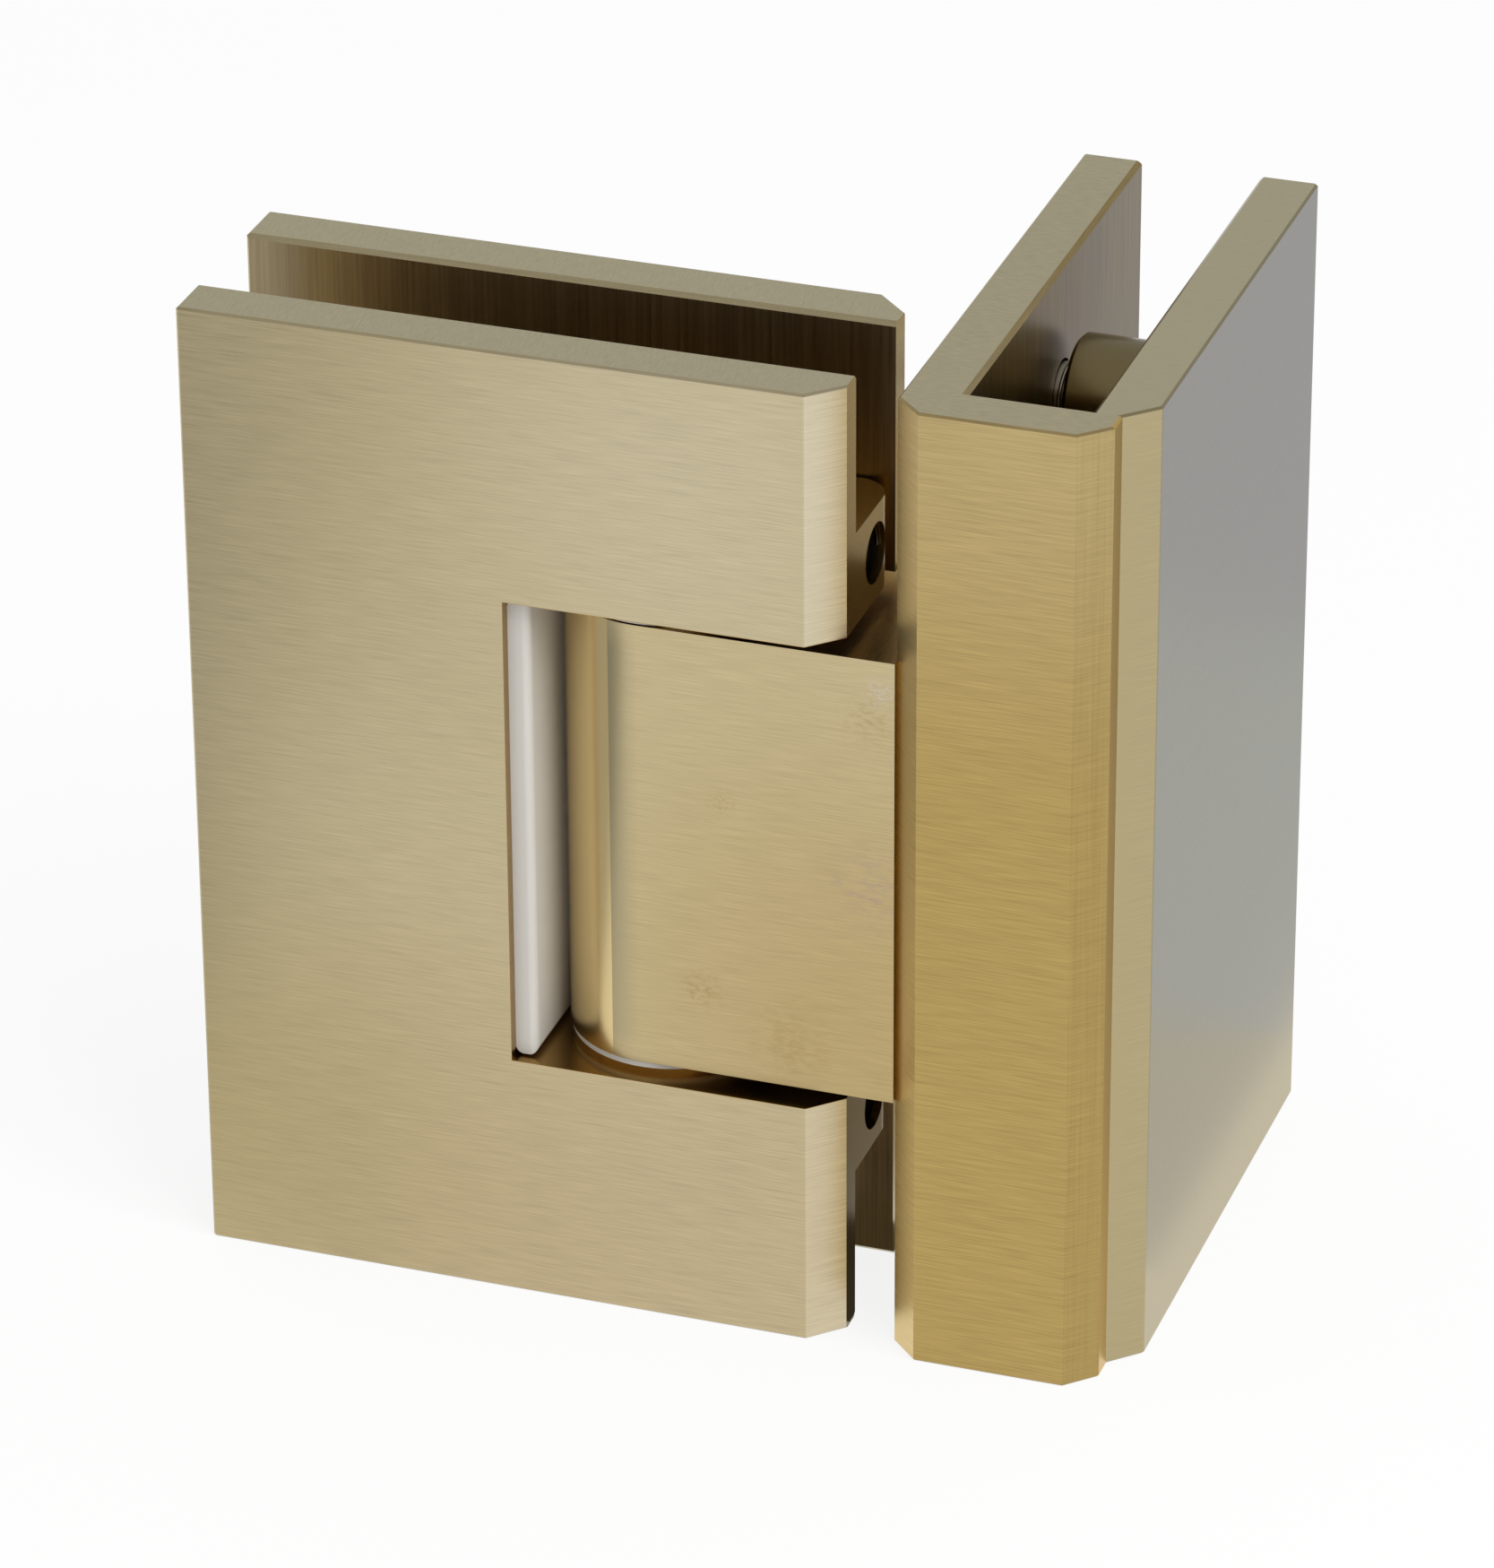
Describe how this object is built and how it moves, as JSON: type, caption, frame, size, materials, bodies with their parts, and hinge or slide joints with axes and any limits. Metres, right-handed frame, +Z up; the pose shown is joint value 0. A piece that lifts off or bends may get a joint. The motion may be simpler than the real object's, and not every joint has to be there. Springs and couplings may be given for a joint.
{
  "type": "shower door hinge",
  "caption": "Square-edged brass hinge that clamps a glass shower door to a fixed glass panel at a right angle, turning on a barrel set in a notch of the door plates.",
  "frame": {"origin": "on the surface that the hinge stands on, under the middle of its box", "axes": "+X along the closed door towards the fixed panel, +Y into the enclosure along the fixed panel, +Z up the pivot axis"},
  "size_m": [0.0836, 0.055, 0.09],
  "materials": {
    "satin_brass": "satin, finely brushed",
    "stainless_steel": "machined",
    "white_nylon": "matt moulded"
  },
  "bodies": {
    "fixed_side": {"fixed_body": "satin_brass", "fixed_clamp_plate": "satin_brass", "fixed_clamp_screws": "stainless_steel", "barrel_leaf": "satin_brass", "leaf_screws": "stainless_steel", "upper_bush": "white_nylon", "lower_bush": "white_nylon", "detent_spring": "stainless_steel"},
    "door_side": {"door_front_plate": "satin_brass", "door_back_plate": "satin_brass", "door_clamp_screws": "stainless_steel", "pivot_pin": "stainless_steel", "upper_set_screw": "stainless_steel", "lower_set_screw": "stainless_steel", "upper_thrust_washer": "white_nylon", "lower_thrust_washer": "white_nylon", "notch_pad": "white_nylon"},
    "detent": {"detent_plunger": "stainless_steel"}
  },
  "joints": [
    {"name": "door_swing", "type": "hinge", "parent": "fixed_side", "child": "door_side", "pos_m": [-0.002, -0.0166, 0.045], "axis": [0, 0, 1], "range_deg": [-90, 90]},
    {"name": "detent_travel", "type": "slide", "parent": "fixed_side", "child": "detent", "axis": [-1, 0, 0], "range_m": [0, 0.0006]}
  ]
}
